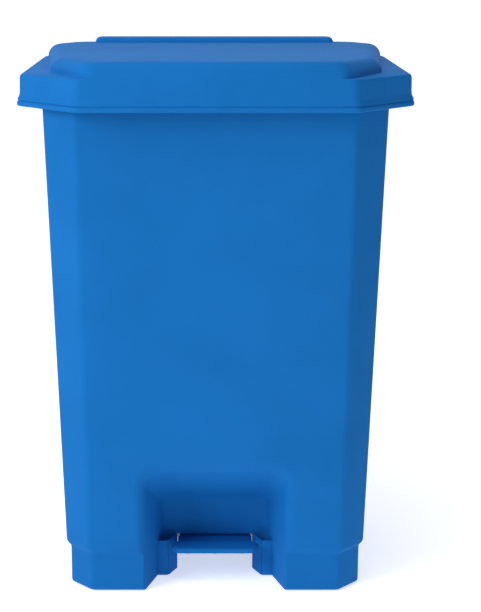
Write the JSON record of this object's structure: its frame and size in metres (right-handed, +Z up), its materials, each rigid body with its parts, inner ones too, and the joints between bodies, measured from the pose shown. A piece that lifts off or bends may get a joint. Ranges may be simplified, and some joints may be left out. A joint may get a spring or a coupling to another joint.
{
  "type": "step-on pedal bin",
  "caption": "Tall tapered moulded step-on waste bin with a hinged overhanging lid, a foot recess with a pedal, and a hidden lever, push rod and slotted crank that lift the lid.",
  "frame": {"origin": "centre of the lid's outline in plan, on the floor under the rubber feet", "axes": "+Z up, -Y out of the front with the foot recess, +X to the right seen from the front"},
  "size_m": [0.46, 0.4, 0.655],
  "materials": {
    "blue_plastic": "satin moulded polypropylene, mid blue",
    "black_rubber": "matt",
    "zinc_steel": "zinc plated",
    "spring_steel": "dark sprung steel",
    "black_plastic": "satin",
    "white_plastic": "satin acetal"
  },
  "bodies": {
    "body": {"body_shell": "blue_plastic", "foot_pads": "black_rubber", "hinge_bracket_left": "blue_plastic", "hinge_bracket_right": "blue_plastic", "hinge_screws": "zinc_steel", "hinge_rod": "zinc_steel", "hinge_caps": "black_plastic", "axle_bracket_left": "zinc_steel", "axle_bracket_right": "zinc_steel", "bracket_screws": "zinc_steel", "pedal_axle": "zinc_steel", "axle_clips": "spring_steel", "rod_guide_upper": "white_plastic", "rod_guide_lower": "white_plastic", "guide_screws": "zinc_steel", "channel_cover": "blue_plastic", "cover_screws": "zinc_steel", "stop_pad": "black_rubber"},
    "lid": {"lid": "blue_plastic", "lid_bumpers": "black_rubber", "crank_arm": "zinc_steel", "crank_screws": "zinc_steel"},
    "pedal": {"pedal": "blue_plastic", "lever_arm": "zinc_steel", "lever_rivets": "zinc_steel"},
    "push_rod": {"push_rod": "zinc_steel", "rod_clips": "spring_steel"}
  },
  "joints": [
    {"name": "lid_hinge", "type": "hinge", "parent": "body", "child": "lid", "pos_m": [0, 0.184, 0.612], "axis": [-1, 0, 0], "range_deg": [0, 75]},
    {"name": "pedal_press", "type": "hinge", "parent": "body", "child": "pedal", "pos_m": [0, -0.05, 0.04], "axis": [1, 0, 0], "range_deg": [0, 16.03]},
    {"name": "rod_pivot", "type": "hinge", "parent": "pedal", "child": "push_rod", "pos_m": [0, 0.14607, 0.0124], "axis": [1, 0, 0], "range_deg": [-16.03, 0]}
  ],
  "couplings": [
    {"joint": "pedal_press", "follows": "lid_hinge", "ratio": 0.2136},
    {"joint": "rod_pivot", "follows": "lid_hinge", "ratio": -0.2136}
  ]
}
